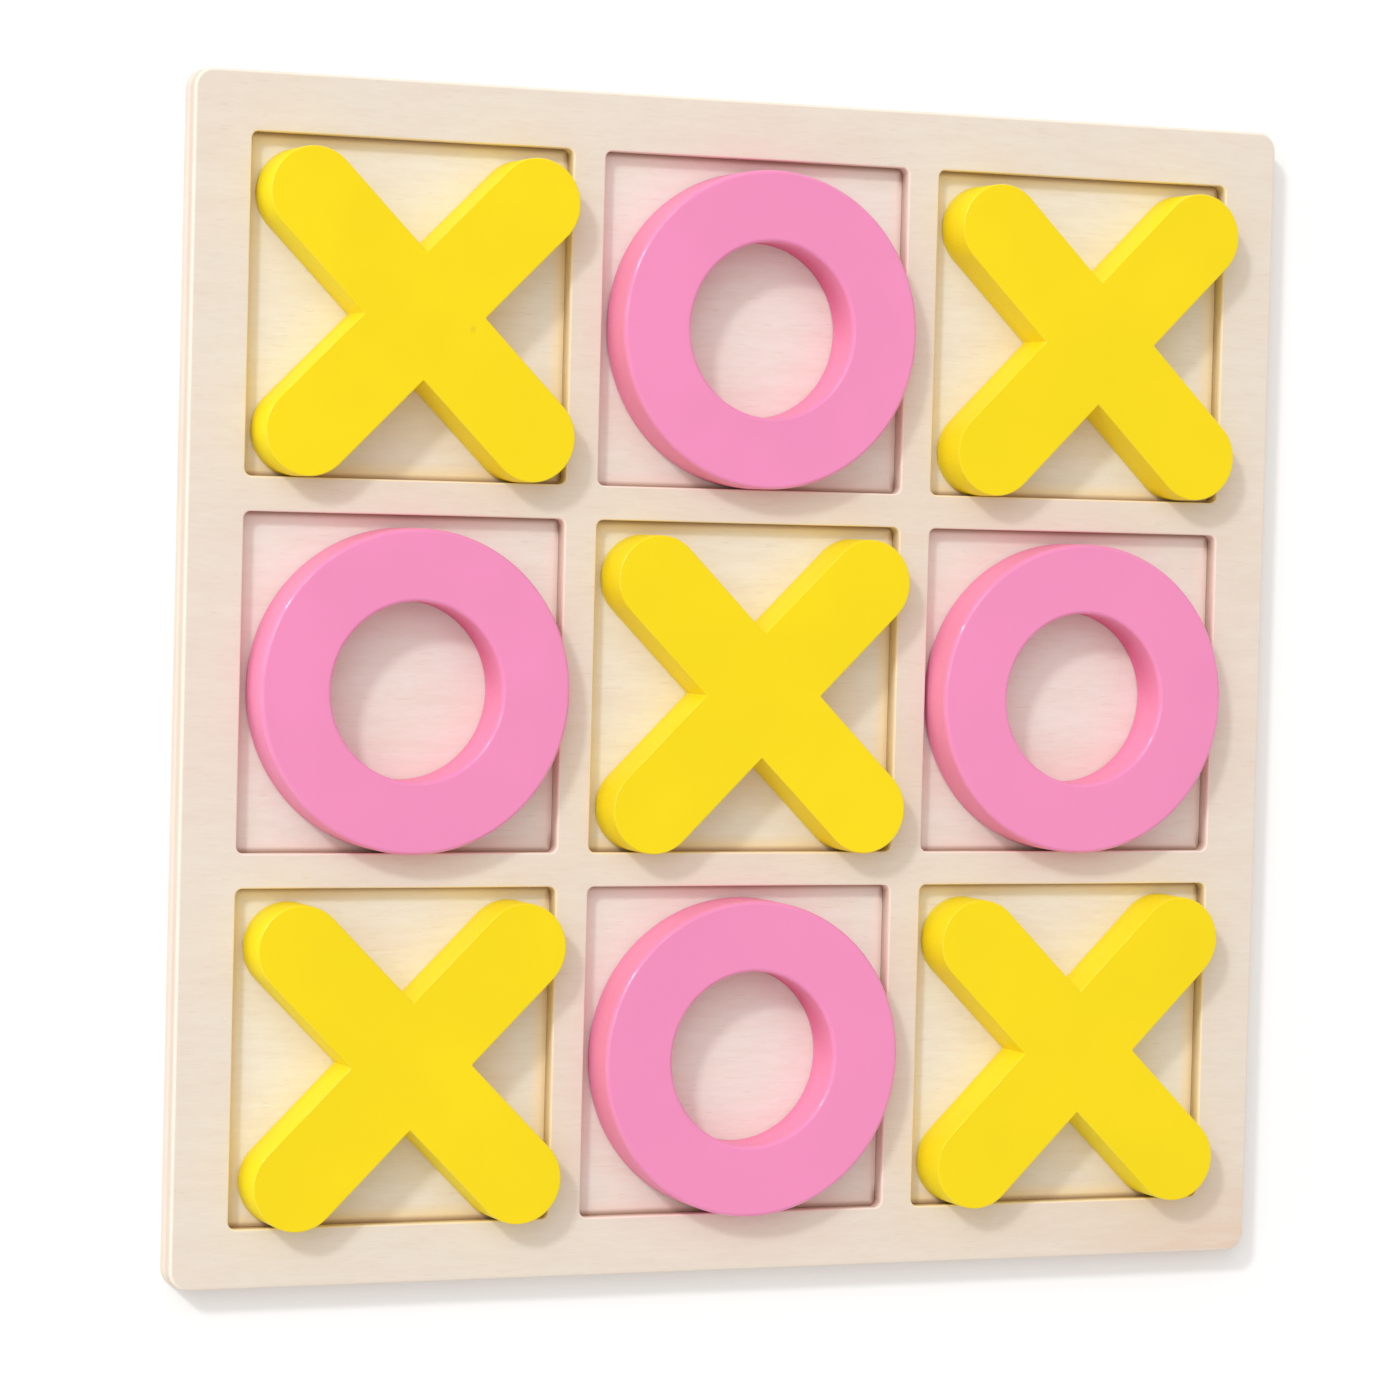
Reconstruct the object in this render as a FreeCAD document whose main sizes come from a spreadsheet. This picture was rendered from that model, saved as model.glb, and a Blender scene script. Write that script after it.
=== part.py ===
"""Tic tac toe set: a two-layer wooden board with nine pockets, five crosses and four rings.

Frame: millimetres, +Z up, origin at the middle of the board's underside.  +X runs
along the board's rows and +Y up its columns, so the top row of pockets is at +Y.
"""
import FreeCAD, Part
import math
import os

import Sketcher
from FreeCAD import Placement, Rotation, Vector

# Driving dimensions in millimetres: each becomes an aliased cell of the spreadsheet.
DIMENSIONS = (
    ("board_side", 200.0, "outside of the square board"),
    ("board_corner_radius", 3.3, "rounded corners of the board in plan"),
    ("board_edge_easing", 0.6, "sanded arris round the outside of the board"),
    ("base_thickness", 3.0, "plain sheet under the pockets"),
    ("grid_thickness", 3.0, "sheet with the nine windows, so also the pocket depth"),
    ("pocket_side", 56.2, "square window"),
    ("pocket_corner_radius", 1.2, "corners of a window"),
    ("pocket_rim_easing", 0.5, "sanded rim of a window"),
    ("bar_width", 5.8, "wood left between two windows"),
    ("piece_thickness", 9.0, "crosses and rings"),
    ("piece_edge_radius", 0.7, "rounded edges of the painted pieces"),
    ("cross_span", 53.8, "square that a cross just fits"),
    ("arm_width", 15.0, "arm of a cross, with a full round end"),
    ("ring_diameter", 54.0, "outside of a ring"),
    ("ring_bore", 29.8, "hole of a ring"),
)
PITCH = "(Dimensions.pocket_side + Dimensions.bar_width)"
POCKETS_PER_ROW = 3
ARM_ANGLE = 45.0
TOLERANCE = 1e-4

# Where each piece lies: its name, its pocket as a column and a row counted from the
# middle pocket, how far it has slid from the pocket's centre, and its turn in degrees.
CROSSES = (
    ("x_piece_1", -1, 1, 0.35, -1.1, 0.0),
    ("x_piece_2", 1, 1, 0.95, -1.0, 0.3),
    ("x_piece_3", 0, 0, 0.75, -1.05, 0.1),
    ("x_piece_4", -1, -1, 1.05, -1.05, 0.1),
    ("x_piece_5", 1, -1, 0.7, -0.95, 0.4),
)
RINGS = (
    ("o_piece_1", 0, 1, 0.65, -1.0, 0.0),
    ("o_piece_2", -1, 0, 0.55, -1.0, 0.0),
    ("o_piece_3", 1, 0, -0.2, -1.0, 0.0),
    ("o_piece_4", 0, -1, 0.6, -1.0, 0.0),
)


def make_sheet(document):
    """Put the driving dimensions in a spreadsheet, one aliased cell each."""
    sheet = document.addObject("Spreadsheet::Sheet", "Dimensions")
    for row, (alias, value, note) in enumerate(DIMENSIONS, start=1):
        sheet.set("A%d" % row, alias)
        sheet.set("B%d" % row, str(value))
        sheet.set("C%d" % row, note)
        sheet.setAlias("B%d" % row, alias)
    document.recompute()
    return sheet


def make_body(document, label):
    """A body whose label names its file."""
    body = document.addObject("PartDesign::Body", label)
    body.Label = label
    return body


def origin_feature(body, role):
    """The body's own origin plane or axis with this role."""
    return next(item for item in body.Origin.OriginFeatures if item.Role == role)


def make_sketch(body, name):
    """An empty sketch on the body's own XY plane."""
    sketch = body.newObject("Sketcher::SketchObject", name)
    sketch.AttachmentSupport = [(origin_feature(body, "XY_Plane"), "")]
    sketch.MapMode = "FlatFace"
    return sketch


def drive(sketch, name, constraint, expression):
    """Add a dimensional constraint, name it and bind it to the sheet."""
    index = sketch.addConstraint(constraint)
    sketch.renameConstraint(index, name)
    sketch.setExpression("Constraints." + name, expression)


def draw_square(sketch, side, reach):
    """A square whose lower left corner is reach to the left of and below the origin."""
    corners = [Vector(-1, -1, 0), Vector(1, -1, 0), Vector(1, 1, 0), Vector(-1, 1, 0)]
    for start, end in zip(corners, corners[1:] + corners[:1]):
        sketch.addGeometry(Part.LineSegment(start, end), False)
    for line in range(4):
        sketch.addConstraint(Sketcher.Constraint("Coincident", line, 2, (line + 1) % 4, 1))
        level = "Horizontal" if line % 2 == 0 else "Vertical"
        sketch.addConstraint(Sketcher.Constraint(level, line))
    drive(sketch, "side_x", Sketcher.Constraint("DistanceX", 0, 1, 0, 2, 2.0), side)
    drive(sketch, "side_y", Sketcher.Constraint("DistanceY", 1, 1, 1, 2, 2.0), side)
    drive(sketch, "reach_x", Sketcher.Constraint("DistanceX", 0, 1, -1, 1, 1.0), reach)
    drive(sketch, "reach_y", Sketcher.Constraint("DistanceY", 0, 1, -1, 1, 1.0), reach)


def draw_arm(sketch, width, centres):
    """A slot along X about the origin: two sides and two full round ends."""
    quarter = math.pi / 2
    right = Part.Circle(Vector(2, 0, 0), Vector(0, 0, 1), 1)
    left = Part.Circle(Vector(-2, 0, 0), Vector(0, 0, 1), 1)
    sketch.addGeometry(Part.LineSegment(Vector(-2, 1, 0), Vector(2, 1, 0)), False)
    sketch.addGeometry(Part.ArcOfCircle(right, -quarter, quarter), False)
    sketch.addGeometry(Part.LineSegment(Vector(2, -1, 0), Vector(-2, -1, 0)), False)
    sketch.addGeometry(Part.ArcOfCircle(left, quarter, 3 * quarter), False)
    for line, line_end, arc, arc_end in ((0, 2, 1, 2), (2, 1, 1, 1), (2, 2, 3, 2), (0, 1, 3, 1)):
        sketch.addConstraint(Sketcher.Constraint("Tangent", line, line_end, arc, arc_end))
    sketch.addConstraint(Sketcher.Constraint("Horizontal", 0))
    sketch.addConstraint(Sketcher.Constraint("Equal", 1, 3))
    sketch.addConstraint(Sketcher.Constraint("Symmetric", 1, 3, 3, 3, -1, 1))
    drive(sketch, "width", Sketcher.Constraint("Diameter", 1, 2.0), width)
    drive(sketch, "centres", Sketcher.Constraint("DistanceX", 3, 3, 1, 3, 4.0), centres)


def draw_circle(sketch, name, diameter):
    """A circle about the origin."""
    index = sketch.addGeometry(Part.Circle(Vector(0, 0, 0), Vector(0, 0, 1), 1), False)
    sketch.addConstraint(Sketcher.Constraint("Coincident", index, 3, -1, 1))
    drive(sketch, name, Sketcher.Constraint("Diameter", index, 2.0), diameter)


def pad(body, sketch, thickness):
    """Pad the sketch upwards by a thickness from the sheet."""
    feature = body.newObject("PartDesign::Pad", sketch.Name + "_pad")
    feature.Profile = sketch
    feature.setExpression("Length", thickness)
    sketch.Visibility = False
    return feature


def is_upright(edge):
    """A straight edge along Z."""
    box = edge.BoundBox
    return box.XLength < TOLERANCE and box.YLength < TOLERANCE


def is_level(edge, height):
    """An edge that lies flat at this height."""
    box = edge.BoundBox
    return abs(box.ZMin - height) < TOLERANCE and abs(box.ZMax - height) < TOLERANCE


def is_outside(edge, half_side):
    """An edge on the outside of a square of this half side."""
    middle = edge.CenterOfMass
    return max(abs(middle.x), abs(middle.y)) > half_side


def round_edges(body, name, radius, chosen):
    """Round the edges of the body's last feature that a test picks out."""
    body.Document.recompute()
    last = body.Tip
    edges = ["Edge%d" % number for number, edge in enumerate(last.Shape.Edges, 1) if chosen(edge)]
    if not edges:
        raise ValueError("no edges to round for " + name)
    feature = body.newObject("PartDesign::Fillet", name)
    feature.Base = (last, edges)
    feature.setExpression("Radius", radius)
    body.Document.recompute()
    return feature


def make_base_panel(document):
    """The plain sheet that closes the pockets from below."""
    body = make_body(document, "base_panel")
    sketch = make_sketch(body, "base_outline")
    draw_square(sketch, "Dimensions.board_side", "Dimensions.board_side / 2")
    pad(body, sketch, "Dimensions.base_thickness")
    round_edges(body, "base_corners", "Dimensions.board_corner_radius", is_upright)
    round_edges(body, "base_arris", "Dimensions.board_edge_easing", lambda edge: is_level(edge, 0.0))
    return body


def cut_windows(body):
    """One window in the lower left corner, repeated to three rows of three."""
    sketch = make_sketch(body, "window_outline")
    draw_square(sketch, "Dimensions.pocket_side", PITCH + " + Dimensions.pocket_side / 2")
    window = body.newObject("PartDesign::Pocket", "window")
    window.Profile = sketch
    window.Type = "ThroughAll"
    window.Midplane = True
    sketch.Visibility = False
    grid = body.newObject("PartDesign::MultiTransform", "window_grid")
    grid.Originals = [window]
    steps = []
    for axis, name in (("X_Axis", "columns"), ("Y_Axis", "rows")):
        step = body.newObject("PartDesign::LinearPattern", name)
        step.Direction = (origin_feature(body, axis), [""])
        step.Occurrences = POCKETS_PER_ROW
        step.setExpression("Length", "%d * %s" % (POCKETS_PER_ROW - 1, PITCH))
        steps.append(step)
    grid.Transformations = steps
    body.Tip = grid
    return grid


def make_grid_frame(document, sheet):
    """The sheet with nine windows, glued on top of the base panel."""
    body = make_body(document, "grid_frame")
    body.setExpression("Placement.Base.z", "Dimensions.base_thickness")
    sketch = make_sketch(body, "frame_outline")
    draw_square(sketch, "Dimensions.board_side", "Dimensions.board_side / 2")
    pad(body, sketch, "Dimensions.grid_thickness")
    cut_windows(body)
    windows_end = 1.5 * sheet.pocket_side + sheet.bar_width + TOLERANCE
    top = sheet.grid_thickness
    round_edges(body, "frame_corners", "Dimensions.board_corner_radius",
                lambda edge: is_upright(edge) and is_outside(edge, windows_end))
    round_edges(body, "window_corners", "Dimensions.pocket_corner_radius",
                lambda edge: is_upright(edge) and not is_outside(edge, windows_end))
    round_edges(body, "frame_arris", "Dimensions.board_edge_easing",
                lambda edge: is_level(edge, top) and is_outside(edge, windows_end))
    round_edges(body, "window_rims", "Dimensions.pocket_rim_easing",
                lambda edge: is_level(edge, top) and not is_outside(edge, windows_end))
    return body


def lay_in_pocket(body, column, row, slide_x, slide_y, turn):
    """Rest a piece on the base panel, in its pocket."""
    body.Placement = Placement(Vector(0, 0, 0), Rotation(Vector(0, 0, 1), turn))
    body.setExpression("Placement.Base.x", "%d * %s + (%s)" % (column, PITCH, slide_x))
    body.setExpression("Placement.Base.y", "%d * %s + (%s)" % (row, PITCH, slide_y))
    body.setExpression("Placement.Base.z", "Dimensions.base_thickness")


def round_both_faces(body, sheet):
    """Round the top and bottom edges of a painted piece."""
    top = sheet.piece_thickness
    round_edges(body, body.Label + "_edges", "Dimensions.piece_edge_radius",
                lambda edge: is_level(edge, 0.0) or is_level(edge, top))


def make_cross(document, sheet, label, column, row, slide_x, slide_y, turn):
    """A cross of two equal arms, drawn along X and Y and turned to the diagonals."""
    body = make_body(document, label)
    sketch = make_sketch(body, label + "_arm")
    span = "(Dimensions.cross_span - Dimensions.arm_width) * sqrt(2)"
    draw_arm(sketch, "Dimensions.arm_width", span)
    arm = pad(body, sketch, "Dimensions.piece_thickness")
    both = body.newObject("PartDesign::PolarPattern", label + "_arms")
    both.Originals = [arm]
    both.Axis = (origin_feature(body, "Z_Axis"), [""])
    both.Angle = 90.0
    both.Occurrences = 2
    body.Tip = both
    round_both_faces(body, sheet)
    lay_in_pocket(body, column, row, slide_x, slide_y, ARM_ANGLE + turn)
    return body


def make_ring(document, sheet, label, column, row, slide_x, slide_y, turn):
    """A flat ring with a round hole."""
    body = make_body(document, label)
    sketch = make_sketch(body, label + "_outline")
    draw_circle(sketch, "outside", "Dimensions.ring_diameter")
    draw_circle(sketch, "bore", "Dimensions.ring_bore")
    pad(body, sketch, "Dimensions.piece_thickness")
    round_both_faces(body, sheet)
    lay_in_pocket(body, column, row, slide_x, slide_y, turn)
    return body


def check(document, bodies):
    """Stop if any object failed to compute or any sub-part has no sound solid."""
    for item in document.Objects:
        if "Invalid" in item.State or "Error" in item.State:
            raise RuntimeError("%s failed: %s" % (item.Label, item.State))
        if item.isDerivedFrom("Sketcher::SketchObject") and not item.FullyConstrained:
            raise RuntimeError("loose sketch: " + item.Label)
    for body in bodies:
        shape = body.Shape
        if shape.isNull() or not shape.isValid() or len(shape.Solids) != 1:
            raise RuntimeError("bad solid: " + body.Label)


def main():
    """Build the document, check it and write one STEP file for each sub-part."""
    document = FreeCAD.newDocument("tic_tac_toe_set")
    sheet = make_sheet(document)
    bodies = [make_base_panel(document), make_grid_frame(document, sheet)]
    bodies += [make_cross(document, sheet, *place) for place in CROSSES]
    bodies += [make_ring(document, sheet, *place) for place in RINGS]
    document.recompute()
    check(document, bodies)
    os.makedirs("parts", exist_ok=True)
    for body in bodies:
        body.Shape.exportStep("parts/%s.step" % body.Label)
        print("%-12s %9.1f mm3" % (body.Label, body.Shape.Volume))


main()
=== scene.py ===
"""Looks of the tic tac toe set: plywood board, painted crosses and rings, and the studio."""
import math

import bmesh
import bpy
from bpy.props import FloatProperty, FloatVectorProperty, PointerProperty
from mathutils import Matrix, Vector


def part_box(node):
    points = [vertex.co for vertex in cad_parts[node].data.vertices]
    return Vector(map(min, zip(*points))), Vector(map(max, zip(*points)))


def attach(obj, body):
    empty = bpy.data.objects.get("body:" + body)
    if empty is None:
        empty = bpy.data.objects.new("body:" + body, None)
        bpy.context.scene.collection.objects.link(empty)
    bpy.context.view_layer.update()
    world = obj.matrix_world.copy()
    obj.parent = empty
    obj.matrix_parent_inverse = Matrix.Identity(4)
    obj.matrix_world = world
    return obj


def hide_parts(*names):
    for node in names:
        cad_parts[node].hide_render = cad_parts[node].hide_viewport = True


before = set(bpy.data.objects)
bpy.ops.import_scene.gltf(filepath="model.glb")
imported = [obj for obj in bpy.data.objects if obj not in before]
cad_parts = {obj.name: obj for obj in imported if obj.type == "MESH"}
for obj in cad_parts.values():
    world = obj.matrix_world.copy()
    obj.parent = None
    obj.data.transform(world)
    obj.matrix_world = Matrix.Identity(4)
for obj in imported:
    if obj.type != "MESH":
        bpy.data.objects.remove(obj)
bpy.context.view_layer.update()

bl_info = {
    "name": "Tic Tac Toe Set",
    "version": (1, 0, 0),
    "blender": (4, 5, 0),
    "location": "3D View > Sidebar > Tic Tac Toe",
    "description": "Builds a plywood tic tac toe board with painted crosses and rings",
    "category": "Add Mesh",
}

CROSS_NODES = ("x_piece_1", "x_piece_2", "x_piece_3", "x_piece_4", "x_piece_5")
RING_NODES = ("o_piece_1", "o_piece_2", "o_piece_3", "o_piece_4")
TOLERANCE = 1e-6

# Pockets are counted from the middle one, in board.pocket_side + board.bar_width.
POCKET_STEPS = (-1, 0, 1)

# An upright edge that turns more than this, in radians, is a corner, and a level one is an arris.
CORNER_ANGLE = 1.0
ARRIS_ANGLE = math.radians(30)

# How many facets each rounding has.
CORNER_FACETS = 12
POCKET_CORNER_FACETS = 6
ARRIS_FACETS = 4
PIECE_EDGE_FACETS = 6
NOTCH_FACETS = 2
ARM_END_FACETS = 36
RING_FACETS = 160


def length_property(name, description, default):
    """A size in metres that the user can change."""
    return FloatProperty(name=name, description=description, default=default, min=0.0, unit="LENGTH")


def colour_property(name, description, default):
    """A linear colour that the user can change."""
    return FloatVectorProperty(name=name, description=description, default=default,
                               subtype="COLOR", min=0.0, max=1.0)


def factor_property(name, description, default):
    """A number from nothing to full."""
    return FloatProperty(name=name, description=description, default=default,
                         subtype="FACTOR", min=0.0, max=1.0)


def number_property(name, description, default):
    """A plain number from nothing up."""
    return FloatProperty(name=name, description=description, default=default, min=0.0)


class BoardSettings(bpy.types.PropertyGroup):
    """Sizes and finish of the two glued sheets."""

    pocket_side: length_property("Pocket side", "Side of a square window", 0.0562)
    bar_width: length_property("Bar width", "Wood left between two windows", 0.0058)
    pocket_corner: length_property("Pocket corner", "Radius of a window's corners in plan", 0.0012)
    pocket_rim: length_property("Pocket rim", "Sanded rim of a window", 0.0005)
    board_corner: length_property("Board corner", "Radius of the board's corners in plan", 0.0033)
    board_arris: length_property("Board arris", "Sanded arris round the outside", 0.0006)
    # Painted shade in the pocket corners: how far it reaches from the wall.
    corner_shade_width: length_property("Glue bead", "Width of the glue and dust left in the pocket corners", 0.0011)
    glue_groove: length_property("Glue groove", "Tiny chamfer where the sheets meet", 0.00012)
    wood_light: colour_property("Light wood", "Pale wood between the grain lines", (0.787, 0.700, 0.612))
    wood_panel: colour_property("Panel wood", "Whiter veneer in the pockets", (0.822, 0.768, 0.700))
    wood_dark: colour_property("Dark wood", "Grain lines and cross plies", (0.64, 0.485, 0.36))
    wood_warm: colour_property("Warm wood", "Warmer heartwood streaks", (0.73, 0.545, 0.415))
    wood_rosy: colour_property("Rosy tint", "Faint blush that mottles the faces", (1.0, 0.965, 0.955))
    # Paler sanded wood; on the pocket rims it also paints a thin highlight.
    sanded_wood_and_rim_highlight: colour_property("Sanded wood", "Pale rims where the edge was eased", (0.93, 0.83, 0.72))
    # Warmer cut edges, also warmed and darkened as painted shade on the walls.
    edge_wood_and_shade: colour_property("Edge tint", "Warmer tint of the cut edges", (1.0, 0.82, 0.68))
    # Painted bounce light: yellow and pink light thrown from the pieces onto the pocket walls, rims and
    # floors.
    yellow_bounce_light: colour_property("Yellow rub", "Pocket walls rubbed by the crosses", (0.98, 0.75, 0.37))
    pink_bounce_light: colour_property("Pink rub", "Pocket walls rubbed by the rings", (0.94, 0.75, 0.67))
    # Brown of the real glue lines between the plies, also used as painted shade in the pocket corners.
    glue_and_shade_colour: colour_property("Glue", "Brown glue lines and pocket corners", (0.36, 0.19, 0.10))
    wood_roughness: factor_property("Roughness", "Dullness of the bare sanded wood", 0.62)


class PieceSettings(bpy.types.PropertyGroup):
    """Sizes and paint of the crosses and rings."""

    arm_width: length_property("Arm width", "Width of a cross's arm", 0.015)
    ring_bore: length_property("Ring bore", "Diameter of a ring's hole", 0.0298)
    edge_radius: length_property("Edge radius", "Rounded edges under the paint", 0.0007)
    notch_radius: length_property("Notch radius", "Paint gathered between two arms", 0.00025)
    yellow: colour_property("Yellow paint", "Paint of the crosses", (0.895, 0.675, 0.006))
    pink: colour_property("Pink paint", "Paint of the rings", (0.845, 0.265, 0.490))
    # The sides take a brighter, more saturated copy of the paint: painted light on the sides.
    yellow_side_light: colour_property("Yellow sides", "Yellow paint on the cut sides", (0.975, 0.795, 0.010))
    pink_side_light: colour_property("Pink sides", "Pink paint on the cut sides", (0.94, 0.305, 0.510))
    chip_place: FloatVectorProperty(
        name="Chip",
        description="A tiny chip in the paint of the first cross",
        default=(-0.0533, 0.0590, 0.0120),
        subtype="XYZ",
        unit="LENGTH",
        precision=5,
    )
    paint_roughness: factor_property("Roughness", "Dullness of the satin paint", 0.38)


class StageSettings(bpy.types.PropertyGroup):
    """Floor, light and camera."""

    floor_colour: colour_property("Floor", "Pale floor", (0.97, 0.97, 0.97))
    key_power: number_property("Key power", "Small soft box at the upper left, in watts", 77.0)
    key_size: length_property("Key size", "Side of the small soft box", 0.45)
    bank_power: number_property("Bank power", "Wide light bank above it, in watts", 91.0)
    bank_size: length_property("Bank size", "Side of the wide light bank", 4.2)
    wing_power: number_property("Wing power", "Low reflector on the left, in watts", 8.0)
    wing_size: length_property("Wing size", "Side of the low reflector", 1.6)
    light_distance: length_property("Light distance", "From the board to the lights", 5.0)
    lamp_colour: colour_property("Lamps", "Colour of the soft boxes", (0.93, 0.985, 1.0))
    fill_colour: colour_property("Fill colour", "Warm light thrown back by the room", (1.0, 0.955, 0.925))
    fill_strength: number_property("Fill", "Even light from all round", 0.705)
    lens: number_property("Lens", "Focal length on a 36 mm sensor, in mm", 122.9)


class SetSettings(bpy.types.PropertyGroup):
    """Everything the user can change."""

    board: PointerProperty(type=BoardSettings)
    pieces: PointerProperty(type=PieceSettings)
    stage: PointerProperty(type=StageSettings)


# ----------------------------------------------------------------- shader nodes

BUMP_DEPTH = 0.0001


def add(tree, kind, inputs=None, **attributes):
    """Add a node, set its attributes, and set or link its inputs."""
    item = tree.nodes.new(kind)
    for name, value in attributes.items():
        setattr(item, name, value)
    for name, value in (inputs or {}).items():
        if isinstance(value, bpy.types.NodeSocket):
            tree.links.new(value, item.inputs[name])
        else:
            item.inputs[name].default_value = value
    return item


def maths(tree, operation, first, second=0.0, third=0.0):
    """One arithmetic step."""
    item = add(tree, "ShaderNodeMath", {0: first, 1: second, 2: third}, operation=operation)
    return item.outputs[0]


def times(tree, first, *others):
    """Multiply masks and strengths."""
    product = first
    for other in others:
        product = maths(tree, "MULTIPLY", product, other)
    return product


def opposite(tree, mask):
    """Full where the mask is nothing."""
    return maths(tree, "SUBTRACT", 1.0, mask)


def fade(tree, value, low, high):
    """Nothing at low, full at high, and smooth between them."""
    inputs = {"Value": value, "From Min": low, "From Max": high}
    return add(tree, "ShaderNodeMapRange", inputs, interpolation_type="SMOOTHSTEP").outputs["Result"]


def blend(tree, factor, first, second, mode="MIX", kind="Color"):
    """Mix two colours, or two vectors."""
    data_type = "RGBA" if kind == "Color" else "VECTOR"
    item = add(tree, "ShaderNodeMix", data_type=data_type, blend_type=mode)
    for identifier, value in (("Factor_Float", factor), ("A_" + kind, first), ("B_" + kind, second)):
        socket = next(socket for socket in item.inputs if socket.identifier == identifier)
        if isinstance(value, bpy.types.NodeSocket):
            tree.links.new(value, socket)
        elif identifier == "Factor_Float":
            socket.default_value = value
        else:
            socket.default_value = (*value, 1.0)
    return next(socket for socket in item.outputs if socket.identifier == "Result_" + kind)


def noise(tree, place, pattern, shift=(0.0, 0.0, 0.0)):
    """One of the patterns below, moved along by shift."""
    stretch, detail, roughness = pattern
    inputs = {"Vector": place, "Scale": stretch, "Location": shift}
    mapping = add(tree, "ShaderNodeMapping", inputs)
    inputs = {"Vector": mapping.outputs[0], "Scale": 1.0, "Detail": detail, "Roughness": roughness}
    return add(tree, "ShaderNodeTexNoise", inputs).outputs["Fac"]


def place_and_axes(tree):
    """A point's place on the object, whole and as X, Y and Z."""
    place = add(tree, "ShaderNodeTexCoord").outputs["Object"]
    return place, add(tree, "ShaderNodeSeparateXYZ", {"Vector": place}).outputs


def surface_normal(tree):
    """The X, Y and Z of the way that the surface faces."""
    normal = add(tree, "ShaderNodeNewGeometry").outputs["Normal"]
    return add(tree, "ShaderNodeSeparateXYZ", {"Vector": normal}).outputs


def new_material(name):
    """An empty node material with its output and principled shader."""
    material = bpy.data.materials.new(name)
    material.use_nodes = True
    tree = material.node_tree
    tree.nodes.clear()
    shader = add(tree, "ShaderNodeBsdfPrincipled")
    add(tree, "ShaderNodeOutputMaterial", {"Surface": shader.outputs[0]})
    return material, tree, shader


def fill_shader(tree, shader, colour, dullness, relief, unevenness, specular):
    """Link a finish to its shader."""
    inputs = {"Strength": unevenness, "Distance": BUMP_DEPTH, "Height": relief}
    bump = add(tree, "ShaderNodeBump", inputs)
    tree.links.new(colour, shader.inputs["Base Color"])
    tree.links.new(dullness, shader.inputs["Roughness"])
    tree.links.new(bump.outputs[0], shader.inputs["Normal"])
    shader.inputs["Specular IOR Level"].default_value = specular


# ---------------------------------------------------------------------- plywood

# Each pattern: features in a metre along X, Y and Z, then its detail and roughness.
STREAKS = ((75.0, 480.0, 300.0), 5.0, 0.62)
FIBRES = ((330.0, 1700.0, 1500.0), 2.0, 0.5)
BANDS = ((5.0, 42.0, 20.0), 2.0, 0.5)
PORES = ((300.0, 2600.0, 1800.0), 1.0, 0.4)
MOTTLE = ((85.0, 120.0, 100.0), 3.0, 0.6)

# Where each sheet's patterns start, so that the two aren't alike.
BASE_SHIFT = (3.7, 11.3, 0.0)
FRAME_SHIFT = (0.0, 0.0, 0.0)

# How strongly each mark shows, from nothing to full.
GRAIN_STRENGTH = 0.21
BLUSH_STRENGTH = 0.55
BAND_STRENGTH = 0.15
PORE_STRENGTH = 0.22
# Sanded paleness on the pocket walls, and a painted highlight on the rims.
SANDED_AND_HIGHLIGHT_STRENGTH = 0.60
# Painted bounce light from the pieces on the floor, walls and rims of the pockets.
BOUNCE_ON_FLOOR = 0.60
BOUNCE_ON_WALL = 0.28
BOUNCE_ON_RIM = 0.35
CROSS_PLY_STRENGTH = 0.16
GLUE_LINE_STRENGTH = 0.22
# Painted corner shade: weak by the walls facing +X and -X, strong by those facing +Y and -Y.
CORNER_SHADE_ACROSS_GRAIN = 0.16
CORNER_SHADE_ALONG_GRAIN = 0.76

# Lengths in metres: the pockets end short of the first, and the painted corner shade thickens near
# the walls facing +Y and -Y between the next two distances from a wall.
POCKETS_END = 0.095
CORNER_SHADE_STARTS = 0.0042
CORNER_SHADE_FULL = 0.0008
# How far the painted bounce light reaches over a pocket floor from its walls.
BOUNCE_REACH = 0.0034
GLUE_LINE_CORE = 0.00002
GLUE_LINE_EDGE = 0.00007

# The heartwood grows from nothing at the first of each pair to full at the second.
HEART_ALONG_X = (0.052, 0.100)
HEART_ALONG_Y = (-0.082, -0.100)


def inside_pockets(tree, axes):
    """Full away from the board's outside edges."""
    across = maths(tree, "ABSOLUTE", axes["X"])
    along = maths(tree, "ABSOLUTE", axes["Y"])
    return maths(tree, "LESS_THAN", maths(tree, "MAXIMUM", across, along), POCKETS_END)


def from_pocket_middle(tree, axes, axis, board):
    """How far the nearest pocket's middle line is."""
    pitch = board.pocket_side + board.bar_width
    return maths(tree, "PINGPONG", axes[axis], pitch / 2)


def gap_to_walls(tree, axes, board):
    """How far the nearest pocket wall is, in plan."""
    gaps = []
    for axis in ("X", "Y"):
        from_middle = from_pocket_middle(tree, axes, axis, board)
        gaps.append(maths(tree, "ABSOLUTE", maths(tree, "SUBTRACT", board.pocket_side / 2, from_middle)))
    return maths(tree, "MINIMUM", gaps[0], gaps[1])


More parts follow.
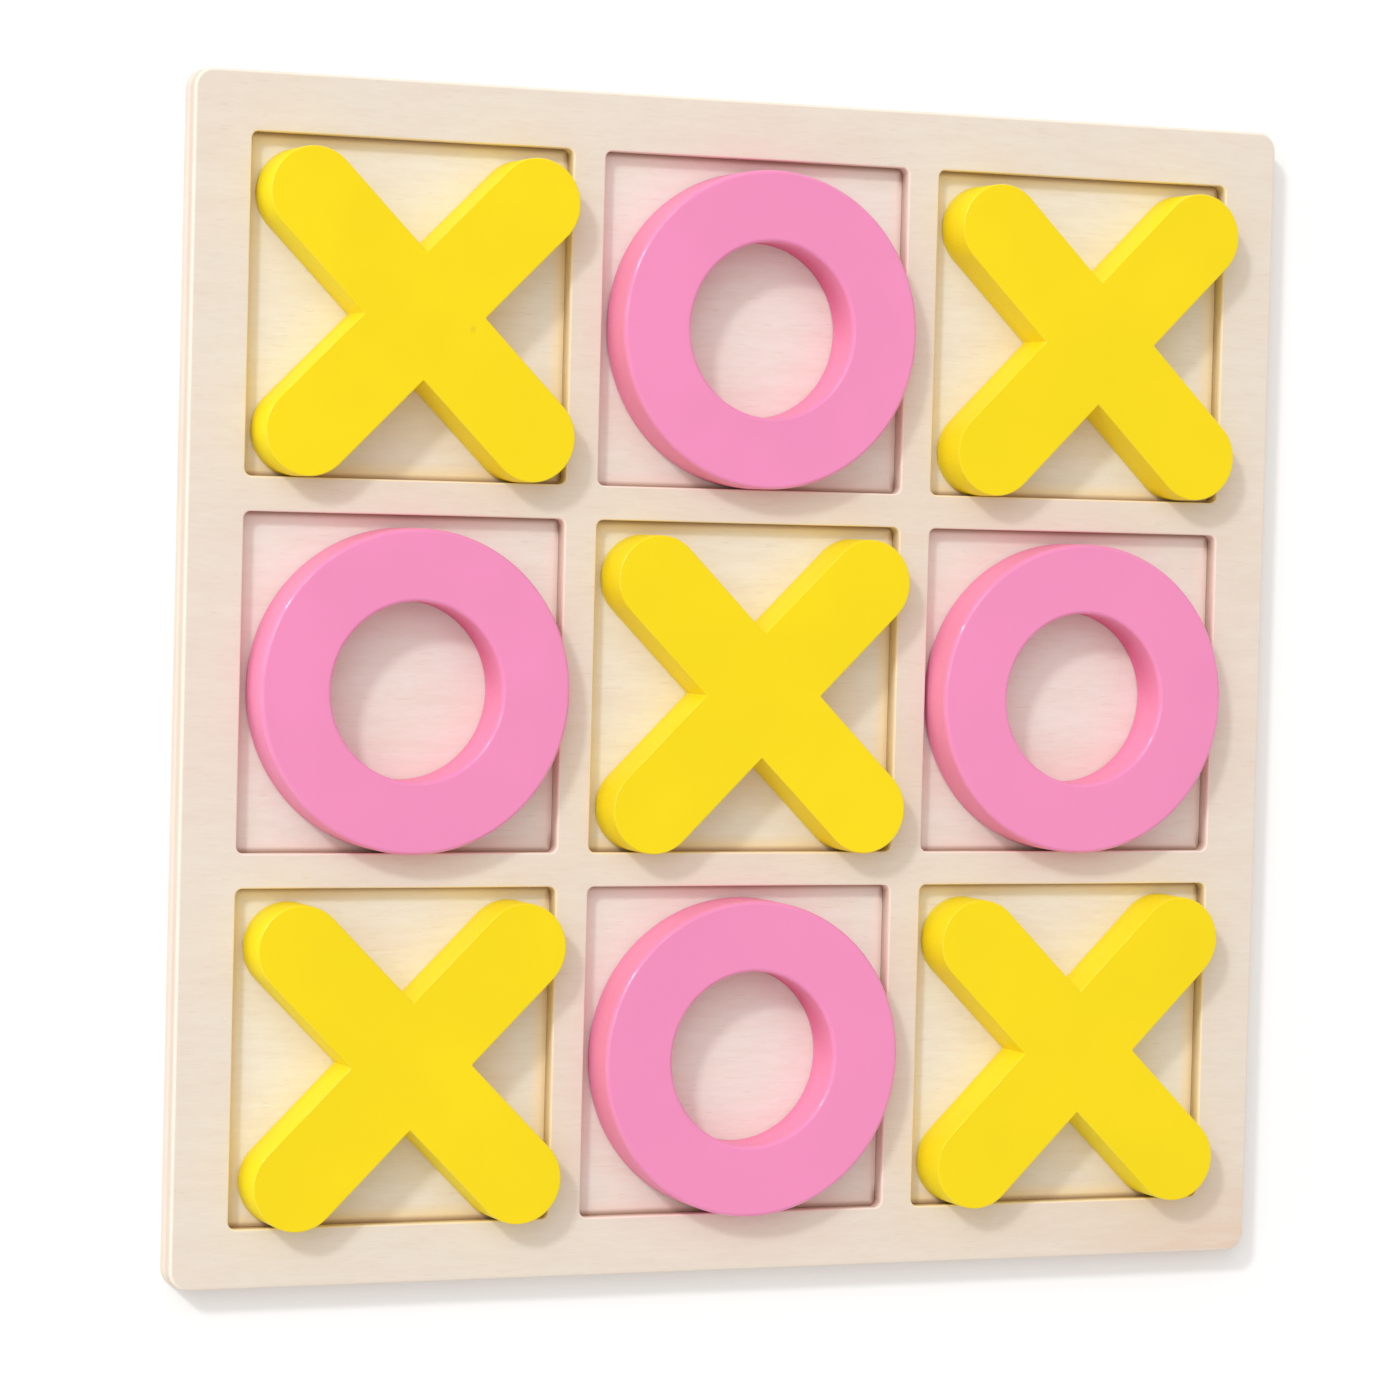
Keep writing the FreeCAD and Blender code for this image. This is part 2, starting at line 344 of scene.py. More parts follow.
def painted_corner_shade(tree, axes, board):
    """Painted shade where a pocket's wall meets its floor, strongest by the walls that face +Y and -Y."""
    above_glue = maths(tree, "SUBTRACT", axes["Z"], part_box("grid_frame")[0].z)
    steepness = 2.5
    distance = times(tree, maths(tree, "ABSOLUTE", above_glue), steepness)
    distance = maths(tree, "ADD", gap_to_walls(tree, axes, board), distance)
    corner = opposite(tree, fade(tree, distance, 0.0, board.corner_shade_width))
    wall = board.pocket_side / 2
    from_middle = from_pocket_middle(tree, axes, "Y", board)
    along_grain = fade(tree, from_middle, wall - CORNER_SHADE_STARTS, wall - CORNER_SHADE_FULL)
    extra = CORNER_SHADE_ALONG_GRAIN - CORNER_SHADE_ACROSS_GRAIN
    strength = maths(tree, "MULTIPLY_ADD", along_grain, extra, CORNER_SHADE_ACROSS_GRAIN)
    return times(tree, strength, corner, inside_pockets(tree, axes))


def bounce_light_colour(tree, axes, board):
    """Painted bounce light from the pieces: yellow and pink by turns from pocket to pocket."""
    pitch = board.pocket_side + board.bar_width
    waves = [maths(tree, "COSINE", times(tree, axes[axis], math.pi / pitch)) for axis in ("X", "Y")]
    crosses = maths(tree, "GREATER_THAN", times(tree, *waves), 0.0)
    return blend(tree, crosses, board.pink_bounce_light, board.yellow_bounce_light)


def plies(tree, axes, sheet):
    """The middle ply and the two thin glue lines of a sheet of three plies."""
    low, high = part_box(sheet)
    half_ply = (high.z - low.z) / 6
    height = maths(tree, "ABSOLUTE", maths(tree, "SUBTRACT", axes["Z"], (low.z + high.z) / 2))
    cross_ply = opposite(tree, fade(tree, height, half_ply * 0.94, half_ply * 1.06))
    off_line = maths(tree, "ABSOLUTE", maths(tree, "SUBTRACT", height, half_ply))
    glue_line = opposite(tree, fade(tree, off_line, GLUE_LINE_CORE, GLUE_LINE_EDGE))
    return cross_ply, glue_line


def grain_along(tree, place, axes, cross_ply):
    """The grain runs along X, and along Y in the cross ply."""
    inputs = {"X": axes["Y"], "Y": axes["X"], "Z": axes["Z"]}
    turned = add(tree, "ShaderNodeCombineXYZ", inputs).outputs[0]
    return blend(tree, cross_ply, place, turned, kind="Vector")


def bare_wood(tree, colour, streaks, fibres, bands, board):
    """Streaks, fibres and wide bands drawn on the pale wood."""
    grain = maths(tree, "ADD", times(tree, streaks, 0.45), times(tree, fibres, 0.30))
    grain = maths(tree, "ADD", grain, times(tree, bands, 0.25))
    grain = fade(tree, grain, 0.36, 0.66)
    return blend(tree, times(tree, grain, GRAIN_STRENGTH), colour, board.wood_dark)


def heart_streak(tree, axes, streaks):
    """Warmer heartwood at the board's corner at +X and -Y."""
    near_right = fade(tree, axes["X"], *HEART_ALONG_X)
    near_front = fade(tree, axes["Y"], *HEART_ALONG_Y)
    uneven = maths(tree, "MULTIPLY_ADD", fade(tree, streaks, 0.42, 0.62), 0.35, 0.40)
    return times(tree, near_right, near_front, uneven)


def painted_bounce_mask(tree, sheet, axes, normal, wall, rim, board):
    """Where painted bounce light from the pieces falls: pocket walls and rims, and the floor next to them.
    """
    if sheet == "base_panel":
        near_wall = fade(tree, gap_to_walls(tree, axes, board), BOUNCE_REACH, 0.0)
        upward = maths(tree, "GREATER_THAN", normal["Z"], 0.5)
        bounce_lit = times(tree, near_wall, upward, BOUNCE_ON_FLOOR)
    else:
        bounce_lit = maths(tree, "MULTIPLY_ADD", wall, BOUNCE_ON_WALL, times(tree, rim, BOUNCE_ON_RIM))
    return times(tree, bounce_lit, inside_pockets(tree, axes))


def make_wood(name, sheet, pale, board, shift):
    """Three-ply sheet: grain along X on its faces, a cross ply in the middle, end grain at its ends, a
    painted highlight on the rims, painted bounce light from the pieces and painted shade in the pocket
    corners.
    """
    material, tree, shader = new_material(name)
    place, axes = place_and_axes(tree)
    normal = surface_normal(tree)
    tilt = maths(tree, "ABSOLUTE", normal["Z"])
    wall = opposite(tree, fade(tree, tilt, 0.10, 0.40))
    rim = times(tree, fade(tree, tilt, 0.20, 0.50), fade(tree, tilt, 0.996, 0.93))
    inside = inside_pockets(tree, axes)
    cross_ply, glue_line = plies(tree, axes, sheet)
    grain_place = grain_along(tree, place, axes, cross_ply)
    streaks = noise(tree, grain_place, STREAKS, shift)
    fibres = noise(tree, grain_place, FIBRES, shift)
    bands = noise(tree, grain_place, BANDS, shift)
    pores = noise(tree, grain_place, PORES, shift)
    mottle = noise(tree, place, MOTTLE, shift)

    colour = bare_wood(tree, pale, streaks, fibres, bands, board)
    blush = times(tree, fade(tree, mottle, 0.40, 0.66), BLUSH_STRENGTH)
    colour = blend(tree, blush, colour, board.wood_rosy, "MULTIPLY")
    warm_bands = times(tree, fade(tree, bands, 0.50, 0.74), BAND_STRENGTH)
    colour = blend(tree, warm_bands, colour, board.wood_warm)
    flecks = times(tree, fade(tree, pores, 0.66, 0.76), tilt, PORE_STRENGTH)
    colour = blend(tree, flecks, colour, board.wood_dark)
    colour = blend(tree, heart_streak(tree, axes, streaks), colour, board.wood_warm)

    # A painted highlight along the eased rims, then paler sanded walls inside the pockets.
    colour = blend(tree, times(tree, rim, SANDED_AND_HIGHLIGHT_STRENGTH), colour, board.sanded_wood_and_rim_highlight)
    colour = blend(tree, times(tree, wall, inside, SANDED_AND_HIGHLIGHT_STRENGTH), colour, board.sanded_wood_and_rim_highlight)
    # Cut edges warmer and darker: partly the real end grain, partly painted shade on the walls.
    edge_tint_and_shade = times(tree, wall, maths(tree, "MULTIPLY_ADD", inside, -0.10, 0.25))
    colour = blend(tree, edge_tint_and_shade, colour, board.edge_wood_and_shade, "MULTIPLY")
    # Painted bounce light from the yellow and pink pieces on the pocket walls, rims and floors.
    bounce_lit = painted_bounce_mask(tree, sheet, axes, normal, wall, rim, board)
    colour = blend(tree, bounce_lit, colour, bounce_light_colour(tree, axes, board))
    colour = blend(tree, times(tree, cross_ply, wall, CROSS_PLY_STRENGTH), colour, board.wood_dark)
    colour = blend(tree, times(tree, glue_line, wall, GLUE_LINE_STRENGTH), colour, board.glue_and_shade_colour)
    # Painted shade in the pocket corners, where wall meets floor.
    colour = blend(tree, painted_corner_shade(tree, axes, board), colour, board.glue_and_shade_colour)

    relief = maths(tree, "ADD", times(tree, fibres, 0.6), times(tree, streaks, 0.4))
    dullness = maths(tree, "MULTIPLY_ADD", fibres, 0.12, board.wood_roughness - 0.06)
    fill_shader(tree, shader, colour, dullness, relief, unevenness=0.25, specular=0.25)
    return material


# ------------------------------------------------------------------------ paint

# Each pattern: features in a metre along X, Y and Z, then its detail and roughness.
CLOUD = ((45.0, 45.0, 45.0), 2.0, 0.5)
PEEL = ((620.0, 620.0, 620.0), 2.0, 0.5)
WOOD_BELOW = ((35.0, 1100.0, 500.0), 3.0, 0.5)
GRIT = ((2600.0, 2600.0, 2600.0), 2.0, 0.6)
WEAR = ((240.0, 240.0, 240.0), 2.0, 0.6)
SPECK = ((900.0, 900.0, 900.0), 0.0, 0.5)
SPECK_SHIFT = (0.37, 0.11, 0.53)

# How strongly each mark shows, from nothing to full.
CLOUD_STRENGTH = 0.30
# The next two: painted shade low on the sides of the pieces and down the bore.
FOOT_SHADE_STRENGTH = 0.22
BORE_SHADE_STRENGTH = 0.70
CHIP_STRENGTH = 0.30
SPECK_STRENGTH = 0.08
GRIT_STRENGTH = 0.16

# Lengths in metres.
# The next three: heights of the painted shade low on the pieces.
FOOT_SHADE_HEIGHT = 0.0040
BORE_SHADE_TOP = 0.0110
BORE_SHADE_FOOT = 0.0010
CHIP_RADIUS = 0.0012
CHIP_UNEVENNESS = 0.0008

CHIP_COLOUR = (0.60, 0.34, 0.04)


def shaded(colour, share):
    """A darker or lighter copy of a colour."""
    return tuple(min(1.0, channel * share) for channel in colour)


def painted_low_shade(tree, axes, normal, side):
    """Painted shade: darker near the bottom of the sides, and down the part of a bore that faces -Y."""
    pocket_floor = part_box("grid_frame")[0].z
    foot_shade = times(tree, fade(tree, axes["Z"], pocket_floor + FOOT_SHADE_HEIGHT, pocket_floor), FOOT_SHADE_STRENGTH)
    bore = add(tree, "ShaderNodeAttribute", attribute_name="bore").outputs["Fac"]
    facing_front = fade(tree, normal["Y"], 0.30, -0.60)
    downward = fade(tree, axes["Z"], pocket_floor + BORE_SHADE_TOP, pocket_floor + BORE_SHADE_FOOT)
    bore_shade = times(tree, bore, facing_front, downward, BORE_SHADE_STRENGTH)
    return times(tree, side, maths(tree, "MAXIMUM", foot_shade, bore_shade))


def paint_chip(tree, place, peel, pieces):
    """One tiny chip with an uneven edge."""
    inputs = {0: place, 1: pieces.chip_place}
    distance = add(tree, "ShaderNodeVectorMath", inputs, operation="DISTANCE").outputs["Value"]
    distance = maths(tree, "ADD", distance, times(tree, peel, CHIP_UNEVENNESS))
    return times(tree, fade(tree, distance, CHIP_RADIUS, CHIP_RADIUS / 3), CHIP_STRENGTH)


def make_paint(name, colour, side_light_colour, pieces):
    """Satin paint: a little orange peel, grain showing through, specks and rougher cut sides, with the
    sides brightened as painted light and painted shade low on the sides and in the bore.
    """
    material, tree, shader = new_material(name)
    place, axes = place_and_axes(tree)
    normal = surface_normal(tree)
    tilt = maths(tree, "ABSOLUTE", normal["Z"])
    side = opposite(tree, fade(tree, tilt, 0.2, 0.6))
    edge = times(tree, fade(tree, tilt, 0.15, 0.45), fade(tree, tilt, 0.995, 0.95))
    cloud = noise(tree, place, CLOUD)
    peel = noise(tree, place, PEEL)
    wood_below = noise(tree, place, WOOD_BELOW)
    grit = noise(tree, place, GRIT)
    wear = noise(tree, place, WEAR)
    speck = noise(tree, place, SPECK, SPECK_SHIFT)

    tone = blend(tree, fade(tree, cloud, 0.30, 0.70), shaded(colour, 0.90), shaded(colour, 1.04))
    tone = blend(tree, CLOUD_STRENGTH, colour, tone)
    # Painted light: the sides take a brighter, more saturated copy of the paint.
    tone = blend(tree, side, tone, side_light_colour)
    # Painted shade low on the sides and down the bore's -Y side, in a darker copy of the side colour.
    painted_shade_colour = tuple(channel ** 2 * 0.7 for channel in side_light_colour)
    tone = blend(tree, painted_low_shade(tree, axes, normal, side), tone, painted_shade_colour)
    tone = blend(tree, paint_chip(tree, place, peel, pieces), tone, CHIP_COLOUR)
    dust = times(tree, fade(tree, speck, 0.88, 0.93), SPECK_STRENGTH)
    tone = blend(tree, dust, tone, shaded(colour, 0.55))
    rough_side = times(tree, side, fade(tree, grit, 0.45, 0.75), GRIT_STRENGTH)
    tone = blend(tree, rough_side, tone, shaded(colour, 0.70))

    relief = maths(tree, "ADD", times(tree, peel, 0.35), times(tree, wood_below, 0.30))
    relief = maths(tree, "ADD", relief, times(tree, grit, side, 0.45))
    dullness = maths(tree, "MULTIPLY_ADD", peel, 0.10, pieces.paint_roughness - 0.05)
    dullness = maths(tree, "ADD", dullness, times(tree, side, 0.12))
    fill_shader(tree, shader, tone, dullness, relief, unevenness=0.35, specular=0.2)
    broken_shine = maths(tree, "MULTIPLY_ADD", fade(tree, wear, 0.42, 0.58), 0.90, 0.08)
    tree.links.new(times(tree, edge, broken_shine), shader.inputs["Coat Weight"])
    shader.inputs["Coat Roughness"].default_value = 0.16
    return material


def make_floor(name, colour):
    """Matt pale board."""
    material, tree, shader = new_material(name)
    place = place_and_axes(tree)[0]
    mottle = noise(tree, place, FLOOR_MOTTLE)
    tone = blend(tree, times(tree, mottle, 0.02), colour, FLOOR_SHADE)
    tree.links.new(tone, shader.inputs["Base Color"])
    shader.inputs["Roughness"].default_value = 0.9
    shader.inputs["Specular IOR Level"].default_value = 0.1
    return material


# ----------------------------------------------------------------------- meshes


def place_of(node):
    """The middle of a piece's underside."""
    low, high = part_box(node)
    return Vector(((low.x + high.x) / 2, (low.y + high.y) / 2, low.z))


def turn_of(node):
    """How far a cross is turned from the board's diagonals, from the way its tips point."""
    centre = place_of(node)
    arms = [(vertex.co - centre).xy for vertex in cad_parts[node].data.vertices]
    longest = max(arm.length for arm in arms)
    tips = [arm for arm in arms if arm.length > longest * 0.9999]
    angles = [math.atan2(tip.y, tip.x) % (math.pi / 2) for tip in tips]
    return sum(angles) / len(angles) - math.pi / 4


def soften(bm, edges, radius, segments):
    """Round some edges."""
    bmesh.ops.bevel(bm, geom=edges, offset=radius, offset_type="OFFSET", segments=segments, profile=0.5,
                    affect="EDGES", clamp_overlap=True, material=-1)


def is_upright(edge):
    """An edge along Z."""
    return (edge.verts[0].co - edge.verts[1].co).xy.length < TOLERANCE


def is_level_at(edge, height):
    """A sharp edge that lies flat at this height."""
    if any(abs(vertex.co.z - height) > TOLERANCE for vertex in edge.verts):
        return False
    return edge.calc_face_angle(0.0) > ARRIS_ANGLE


def is_corner(edge):
    """An upright edge where two walls meet at a real angle."""
    return is_upright(edge) and edge.calc_face_angle(0.0) > CORNER_ANGLE


def is_outside(edge, reach):
    """An edge farther out than the pockets are."""
    middle = (edge.verts[0].co + edge.verts[1].co) / 2
    return max(abs(middle.x), abs(middle.y)) > reach


def thicken(bm, thickness):
    """Turn a flat outline into a slab standing on it."""
    extruded = bmesh.ops.extrude_face_region(bm, geom=bm.faces[:])
    top = [item for item in extruded["geom"] if isinstance(item, bmesh.types.BMVert)]
    bmesh.ops.translate(bm, verts=top, vec=(0, 0, thickness))
    bmesh.ops.recalc_face_normals(bm, faces=bm.faces[:])


def finish_piece(name, bm, material, body, node):
    """Make the object, give it its finish and put it on its body in place of the plain solid."""
    bmesh.ops.recalc_face_normals(bm, faces=bm.faces[:])
    for face in bm.faces:
        face.smooth = True
    mesh = bpy.data.meshes.new(name)
    bm.to_mesh(mesh)
    bm.free()
    mesh.materials.append(material)
    piece = bpy.data.objects.new(name, mesh)
    bpy.context.scene.collection.objects.link(piece)
    piece.modifiers.new("flat_faces", "WEIGHTED_NORMAL")
    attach(piece, body)
    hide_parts(node)
    return piece


def square_sheet(low, high):
    """A flat square between two corners."""
    bm = bmesh.new()
    bmesh.ops.create_grid(bm, x_segments=1, y_segments=1, size=(high.x - low.x) / 2)
    bmesh.ops.translate(bm, verts=bm.verts[:], vec=((low.x + high.x) / 2, (low.y + high.y) / 2, low.z))
    return bm


def cut_windows(bm, board):
    """Cut the sheet along the windows' sides and take the nine windows out."""
    pitch = board.pocket_side + board.bar_width
    half = board.pocket_side / 2
    for step in POCKET_STEPS:
        for side in (-half, half):
            for normal in (Vector((1, 0, 0)), Vector((0, 1, 0))):
                everything = bm.verts[:] + bm.edges[:] + bm.faces[:]
                on_side = normal * (step * pitch + side)
                bmesh.ops.bisect_plane(bm, geom=everything, plane_co=on_side, plane_no=normal)
    windows = []
    for face in bm.faces:
        middle = face.calc_center_median()
        offsets = [min(abs(middle[axis] - step * pitch) for step in POCKET_STEPS) for axis in (0, 1)]
        if max(offsets) < half:
            windows.append(face)
    bmesh.ops.delete(bm, geom=windows, context="FACES")


def make_base_panel(board):
    """The plain sheet under the pockets."""
    low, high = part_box("base_panel")
    bm = square_sheet(low, high)
    thicken(bm, high.z - low.z)
    soften(bm, [edge for edge in bm.edges if is_upright(edge)], board.board_corner, CORNER_FACETS)
    soften(bm, [edge for edge in bm.edges if is_level_at(edge, low.z)], board.board_arris, ARRIS_FACETS)
    soften(bm, [edge for edge in bm.edges if is_level_at(edge, high.z)], board.glue_groove, 1)
    wood = make_wood("base_plywood", "base_panel", board.wood_panel, board, BASE_SHIFT)
    return finish_piece("base_sheet", bm, wood, "board", "base_panel")


def make_grid_frame(board):
    """The sheet with nine windows, glued on the base panel."""
    low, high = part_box("grid_frame")
    bm = square_sheet(low, high)
    cut_windows(bm, board)
    thicken(bm, high.z - low.z)
    reach = high.x - TOLERANCE - board.board_corner * 1.01
    outside_corners = [edge for edge in bm.edges if is_corner(edge) and is_outside(edge, reach)]
    soften(bm, outside_corners, board.board_corner, CORNER_FACETS)
    pocket_corners = [edge for edge in bm.edges if is_corner(edge)]
    soften(bm, pocket_corners, board.pocket_corner, POCKET_CORNER_FACETS)
    arris = [edge for edge in bm.edges if is_level_at(edge, high.z) and is_outside(edge, reach)]
    soften(bm, arris, board.board_arris, ARRIS_FACETS)
    rims = [edge for edge in bm.edges if is_level_at(edge, high.z)]
    soften(bm, rims, board.pocket_rim, ARRIS_FACETS)
    groove = [edge for edge in bm.edges if is_level_at(edge, low.z) and is_outside(edge, reach)]
    soften(bm, groove, board.glue_groove, 1)
    wood = make_wood("frame_plywood", "grid_frame", board.wood_light, board, FRAME_SHIFT)
    return finish_piece("window_sheet", bm, wood, "board", "grid_frame")


def round_faces(bm, thickness, radius):
    """Round the top and bottom edges of a painted piece."""
    edges = [edge for edge in bm.edges if is_level_at(edge, 0.0) or is_level_at(edge, thickness)]
    soften(bm, edges, radius, PIECE_EDGE_FACETS)


def make_cross(node, pieces, paint):
    """A cross of four arms with full round ends."""
    low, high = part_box(node)
    half_width = pieces.arm_width / 2
    turn = turn_of(node)
    span = (high.x - low.x - pieces.arm_width) / 2
    end = span / math.cos(math.pi / 4 - abs(turn))
    bm = bmesh.new()
    heel = [bm.verts.new((half_width, -half_width, 0)), bm.verts.new((end, -half_width, 0))]
    bm.edges.new(heel)
    arc = bmesh.ops.spin(bm, geom=[heel[1]], cent=(end, 0, 0), axis=(0, 0, 1), angle=math.pi,
                         steps=ARM_END_FACETS)
    toe = next(item for item in arc["geom_last"] if isinstance(item, bmesh.types.BMVert))
    notch = bm.verts.new((half_width, half_width, 0))
    bm.edges.new((toe, notch))
    bm.edges.new((notch, heel[0]))
    bmesh.ops.contextual_create(bm, geom=bm.edges[:])
    arm = bm.verts[:] + bm.edges[:] + bm.faces[:]
    for quarter in (1, 2, 3):
        copy = bmesh.ops.duplicate(bm, geom=arm)
        copied = [item for item in copy["geom"] if isinstance(item, bmesh.types.BMVert)]
        quarter_turn = Matrix.Rotation(quarter * math.pi / 2, 3, "Z")
        bmesh.ops.rotate(bm, verts=copied, cent=(0, 0, 0), matrix=quarter_turn)
    bmesh.ops.remove_doubles(bm, verts=bm.verts[:], dist=TOLERANCE)
    inner = [edge for edge in bm.edges if all(vertex.co.length < half_width * 1.5 for vertex in edge.verts)]
    bmesh.ops.contextual_create(bm, geom=inner)
    thickness = high.z - low.z
    thicken(bm, thickness)
    notches = [edge for edge in bm.edges if is_corner(edge)]
    soften(bm, notches, pieces.notch_radius, NOTCH_FACETS)
    round_faces(bm, thickness, pieces.edge_radius)
    onto_diagonals = Matrix.Rotation(math.pi / 4 + turn, 3, "Z")
    bmesh.ops.rotate(bm, verts=bm.verts[:], cent=(0, 0, 0), matrix=onto_diagonals)
    bmesh.ops.translate(bm, verts=bm.verts[:], vec=place_of(node))
    return finish_piece(node.replace("piece", "cross"), bm, paint, node, node)


def make_ring(node, pieces, paint):
    """A flat ring, spun from its section."""
    low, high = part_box(node)
    outer = (high.x - low.x) / 2
    inner = pieces.ring_bore / 2
    thickness = high.z - low.z
    bm = bmesh.new()
    corners = ((inner, 0, 0), (outer, 0, 0), (outer, 0, thickness), (inner, 0, thickness))
    section = [bm.verts.new(corner) for corner in corners]
    sides = [bm.edges.new((section[side - 1], section[side])) for side in range(4)]
    bmesh.ops.spin(bm, geom=section + sides, cent=(0, 0, 0), axis=(0, 0, 1), angle=2 * math.pi,
                   steps=RING_FACETS, use_merge=True)
    bmesh.ops.recalc_face_normals(bm, faces=bm.faces[:])
    round_faces(bm, thickness, pieces.edge_radius)
    # The painted shade in the bore reads this to tell the bore from the outside.
    bore = bm.verts.layers.float.new("bore")
    for vertex in bm.verts:
        vertex[bore] = float(vertex.co.xy.length < (inner + outer) / 2)
    bmesh.ops.translate(bm, verts=bm.verts[:], vec=place_of(node))
    return finish_piece(node.replace("piece", "ring"), bm, paint, node, node)


# ------------------------------------------------------------------------ stage

FLOOR_SIZE = 3.0
FLOOR_MOTTLE = ((9.0, 9.0, 9.0), 2.0, 0.5)
FLOOR_SHADE = (0.8, 0.8, 0.8)
GAP_UNDER_BOARD = 0.00002

# Each light's bearing from +X and its height above the floor, in degrees.
KEY_FROM = (140, 38)
BANK_FROM = (138, 47)
WING_FROM = (195, 10)

# The camera's place and what it looks at, from the middle of the board's top.
CAMERA_PLACE = Vector((-0.3223, 0.0284, 0.7504))
CAMERA_TARGET = Vector((-0.0085, -0.0021, 0.0))
CAMERA_ROLL = math.radians(1.476)
CAMERA_NEAREST = 0.05


def make_floor_plane(stage):
    """A wide pale floor just under the board."""
    bm = bmesh.new()
    bmesh.ops.create_grid(bm, x_segments=1, y_segments=1, size=FLOOR_SIZE)
    bmesh.ops.translate(bm, verts=bm.verts[:], vec=(0, 0, -GAP_UNDER_BOARD))
    mesh = bpy.data.meshes.new("floor")
    bm.to_mesh(mesh)
    bm.free()
    mesh.materials.append(make_floor("pale_floor", stage.floor_colour))
    floor = bpy.data.objects.new("floor", mesh)
    bpy.context.scene.collection.objects.link(floor)


def aim(item, place, target, roll=0.0):
    """Put a light or camera somewhere, looking at a target, its top towards +Y and then rolled."""
    forward = (target - place).normalized()
    right = forward.cross(Vector((0, 1, 0))).normalized()
    up = right.cross(forward)
    turn = Matrix((right, up, -forward)).transposed() @ Matrix.Rotation(roll, 3, "Z")
    item.matrix_world = Matrix.Translation(place) @ turn.to_4x4()


def make_light(name, power, size, come_from, stage):
    """A square light, placed by its bearing and its height."""
    box = bpy.data.lights.new(name, "AREA")
    box.energy = power
    box.size = size
    box.color = stage.lamp_colour
    light = bpy.data.objects.new(name, box)
    bpy.context.scene.collection.objects.link(light)
    bearing, height = (math.radians(angle) for angle in come_from)
    level = math.cos(height)
    direction = Vector((math.cos(bearing) * level, math.sin(bearing) * level, math.sin(height)))
    aim(light, direction * stage.light_distance, Vector((0, 0, 0)))


def make_lights(stage):
    """Two soft boxes at the upper left, a low reflector on the left, and even light from all round."""
    make_light("key", stage.key_power, stage.key_size, KEY_FROM, stage)
    make_light("bank", stage.bank_power, stage.bank_size, BANK_FROM, stage)
    make_light("wing", stage.wing_power, stage.wing_size, WING_FROM, stage)
    world = bpy.data.worlds.new("studio")
    bpy.context.scene.world = world
    world.use_nodes = True
    background = world.node_tree.nodes["Background"]
    background.inputs["Color"].default_value = (*stage.fill_colour, 1.0)
    background.inputs["Strength"].default_value = stage.fill_strength


def make_camera(stage):
    """A long lens above the board and to its left."""
    top = Vector((0, 0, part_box("grid_frame")[1].z))
    lens = bpy.data.cameras.new("camera")
    lens.lens = stage.lens
    lens.sensor_width = 36.0
    lens.clip_start = CAMERA_NEAREST
    camera = bpy.data.objects.new("camera", lens)
    bpy.context.scene.collection.objects.link(camera)
    aim(camera, CAMERA_PLACE + top, CAMERA_TARGET + top, CAMERA_ROLL)
    bpy.context.scene.camera = camera


# -------------------------------------------------------------------- operators


class TICTACTOE_OT_base_panel(bpy.types.Operator):
    """Make the plain plywood sheet under the pockets"""

    bl_idname = "tictactoe.base_panel"
    bl_label = "Base panel"

    def execute(self, context):
        make_base_panel(context.scene.tic_tac_toe.board)
        return {"FINISHED"}


class TICTACTOE_OT_grid_frame(bpy.types.Operator):
    """Make the plywood sheet with nine windows"""

    bl_idname = "tictactoe.grid_frame"
    bl_label = "Grid frame"

    def execute(self, context):
        make_grid_frame(context.scene.tic_tac_toe.board)
        return {"FINISHED"}


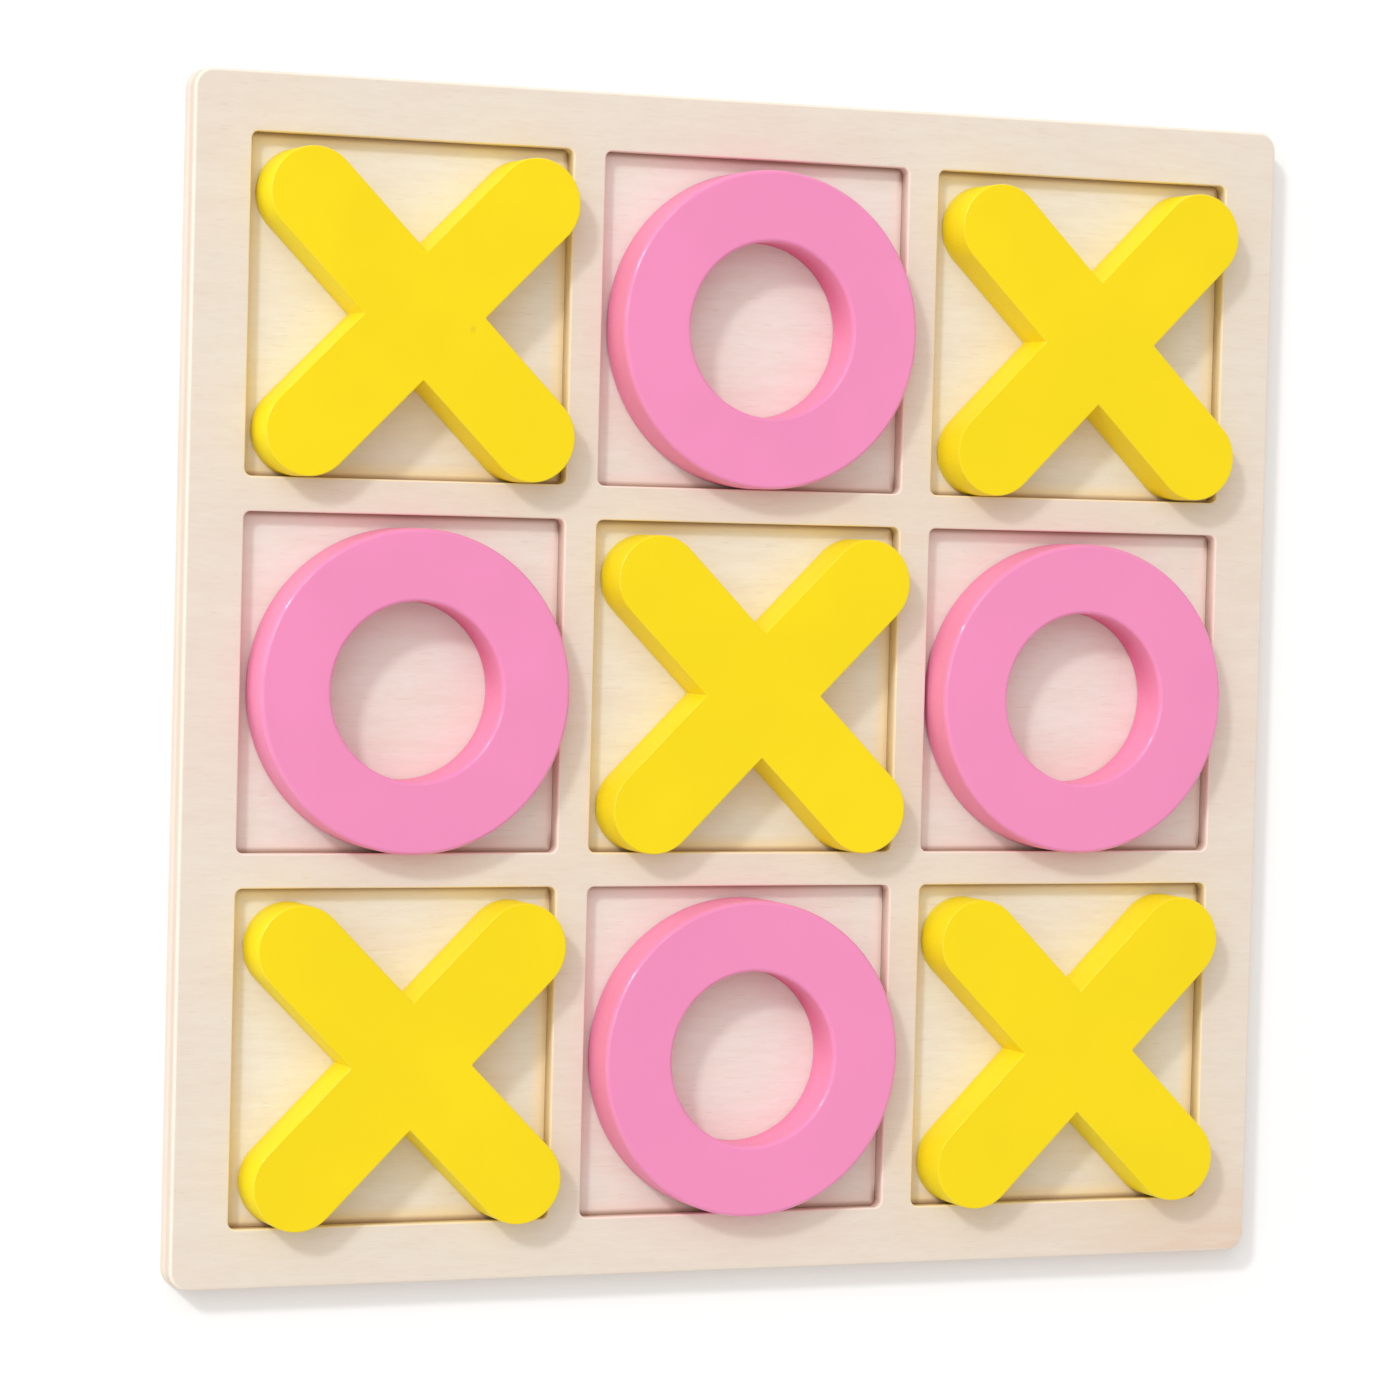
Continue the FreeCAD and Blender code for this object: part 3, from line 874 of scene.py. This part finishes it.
class TICTACTOE_OT_crosses(bpy.types.Operator):
    """Make the painted crosses"""

    bl_idname = "tictactoe.crosses"
    bl_label = "Crosses"

    def execute(self, context):
        pieces = context.scene.tic_tac_toe.pieces
        paint = make_paint("yellow_satin", pieces.yellow, pieces.yellow_side_light, pieces)
        for node in CROSS_NODES:
            make_cross(node, pieces, paint)
        return {"FINISHED"}


class TICTACTOE_OT_rings(bpy.types.Operator):
    """Make the painted rings"""

    bl_idname = "tictactoe.rings"
    bl_label = "Rings"

    def execute(self, context):
        pieces = context.scene.tic_tac_toe.pieces
        paint = make_paint("pink_satin", pieces.pink, pieces.pink_side_light, pieces)
        for node in RING_NODES:
            make_ring(node, pieces, paint)
        return {"FINISHED"}


class TICTACTOE_OT_stage(bpy.types.Operator):
    """Make the floor, the lights and the camera"""

    bl_idname = "tictactoe.stage"
    bl_label = "Stage"

    def execute(self, context):
        stage = context.scene.tic_tac_toe.stage
        make_floor_plane(stage)
        make_lights(stage)
        make_camera(stage)
        context.scene.view_settings.view_transform = "Standard"
        return {"FINISHED"}


MAKERS = (
    TICTACTOE_OT_base_panel,
    TICTACTOE_OT_grid_frame,
    TICTACTOE_OT_crosses,
    TICTACTOE_OT_rings,
    TICTACTOE_OT_stage,
)


class TICTACTOE_PT_panel(bpy.types.Panel):
    """Lists the makers and their settings"""

    bl_label = "Tic Tac Toe Set"
    bl_space_type = "VIEW_3D"
    bl_region_type = "UI"
    bl_category = "Tic Tac Toe"

    def draw(self, context):
        settings = context.scene.tic_tac_toe
        for group in (settings.board, settings.pieces, settings.stage):
            box = self.layout.box()
            for name in group.__annotations__:
                box.prop(group, name)
        for maker in MAKERS:
            self.layout.operator(maker.bl_idname)


CLASSES = (BoardSettings, PieceSettings, StageSettings, SetSettings, *MAKERS, TICTACTOE_PT_panel)


def register():
    """Register the classes and hang the settings on the scene."""
    for item in CLASSES:
        bpy.utils.register_class(item)
    bpy.types.Scene.tic_tac_toe = PointerProperty(type=SetSettings)


def unregister():
    """Undo register."""
    del bpy.types.Scene.tic_tac_toe
    for item in reversed(CLASSES):
        bpy.utils.unregister_class(item)


def main():
    """Build everything in order."""
    register()
    for maker in MAKERS:
        group, command = maker.bl_idname.split(".")
        getattr(getattr(bpy.ops, group), command)()


if __name__ == "__main__":
    main()
